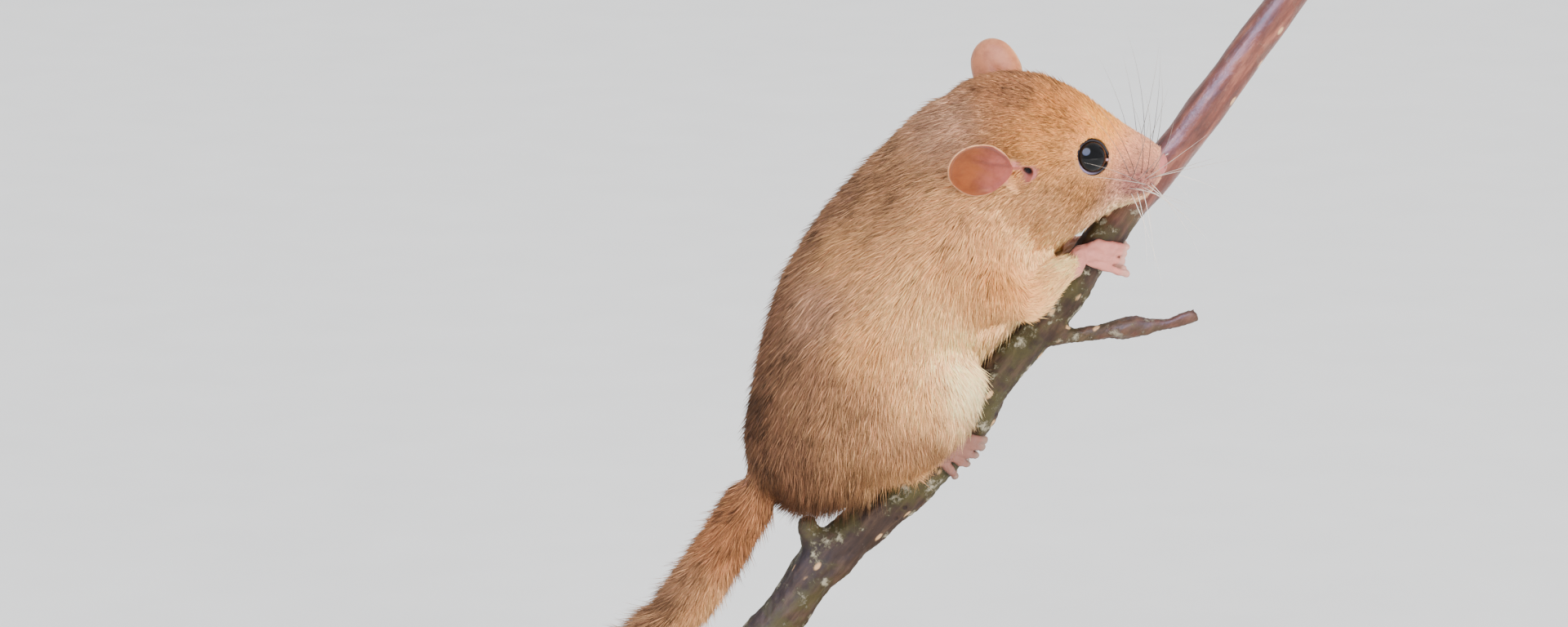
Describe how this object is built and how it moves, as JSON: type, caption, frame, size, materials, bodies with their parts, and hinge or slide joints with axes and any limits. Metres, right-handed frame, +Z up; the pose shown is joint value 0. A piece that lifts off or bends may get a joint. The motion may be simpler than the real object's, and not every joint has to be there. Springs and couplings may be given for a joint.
{
  "type": "hazel dormouse model",
  "caption": "Life-size still model of a hazel dormouse climbing a cut stem, with a long furry tail, on a small stand.",
  "frame": {"origin": "middle of the flat underside of the stand's base", "axes": "+X the way the animal faces, +Z up, +Y away from a viewer who sees its right side"},
  "size_m": [0.1183, 0.046, 0.1102],
  "materials": {
    "back_fur": "soft, matt fur",
    "face_fur": "soft, matt fur",
    "belly_fur": "soft, matt fur",
    "tail_fur": "bushy, matt fur",
    "bare_skin": "soft satin skin",
    "ear_skin": "thin satin skin",
    "eye": "wet gloss",
    "bark": "smooth satin bark",
    "stand_wood": "satin varnish",
    "stand_metal": "brushed"
  },
  "bodies": {
    "root": {"head": "face_fur", "neck": "back_fur", "chest": "back_fur", "belly": "back_fur", "rump": "back_fur", "ear_right": "ear_skin", "ear_left": "ear_skin", "eye_right": "eye", "eye_left": "eye", "perch_branch": "bark", "perch_twig": "bark", "tail_base": "tail_fur", "tail_middle": "tail_fur", "tail_tip": "tail_fur", "stand_base": "stand_wood", "stand_rod": "stand_metal", "thigh_right": "back_fur", "upper_arm_right": "back_fur", "shank_right": "belly_fur", "forearm_right": "belly_fur", "hind_foot_right": "bare_skin", "forepaw_right": "bare_skin", "thigh_left": "back_fur", "upper_arm_left": "back_fur", "shank_left": "belly_fur", "forearm_left": "belly_fur", "hind_foot_left": "bare_skin", "forepaw_left": "bare_skin"}
  },
  "joints": []
}
